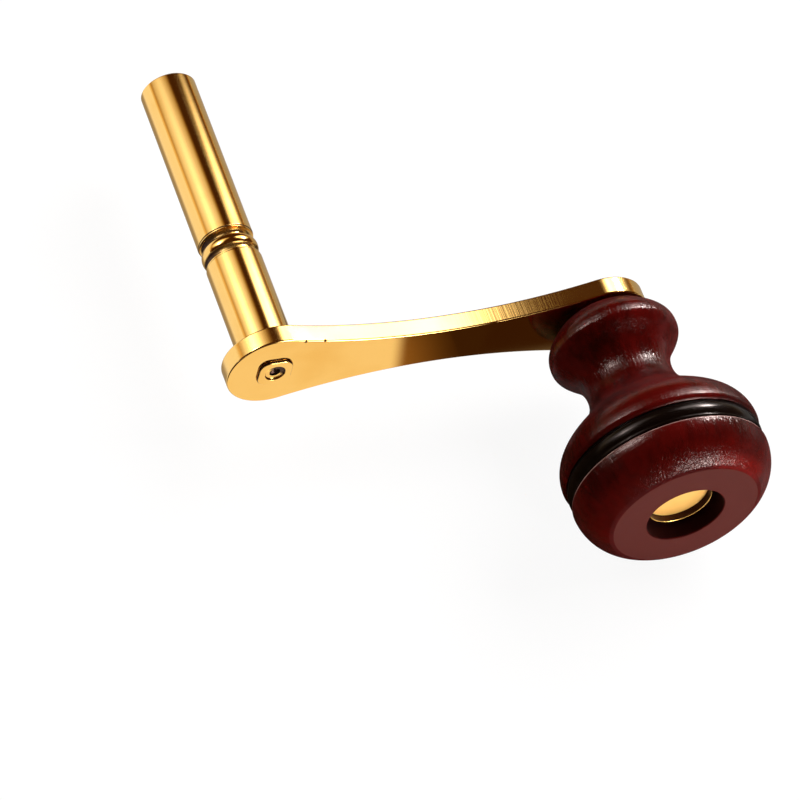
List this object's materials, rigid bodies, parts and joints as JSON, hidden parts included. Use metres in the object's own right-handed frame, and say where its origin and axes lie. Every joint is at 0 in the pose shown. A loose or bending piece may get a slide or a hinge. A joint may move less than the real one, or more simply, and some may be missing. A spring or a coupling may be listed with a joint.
{
  "type": "clock winding key",
  "caption": "Hand crank key for winding a clock: a brass barrel with a square socket, a flat waisted brass arm and a free-spinning turned wooden knob.",
  "frame": {"origin": "centre of the square socket's mouth, on the barrel's end face", "axes": "+Y along the winding axis, out of the socket's mouth; +X along the crank arm, from the barrel towards the knob; +Z square to both, across the arm"},
  "size_m": [0.0867, 0.1036, 0.0356],
  "materials": {
    "barrel_brass": "turned and polished to a mirror",
    "arm_brass": "polished flat, with fine brush lines on its narrow edge",
    "spindle_brass": "turned, fine concentric lathe lines on the head",
    "washer_brass": "pressed and polished",
    "knob_wood": "dark red-brown stained wood under gloss varnish, with a black stained band"
  },
  "bodies": {
    "crank": {"winding_barrel": "barrel_brass", "crank_arm": "arm_brass", "knob_spindle": "spindle_brass", "arm_washer": "washer_brass", "cup_washer": "washer_brass"},
    "knob": {"turned_knob": "knob_wood"}
  },
  "joints": [
    {"name": "knob_spin", "type": "hinge", "parent": "crank", "child": "knob", "pos_m": [0.0605, -0.083, 0], "axis": [0, 1, 0], "continuous": true}
  ]
}
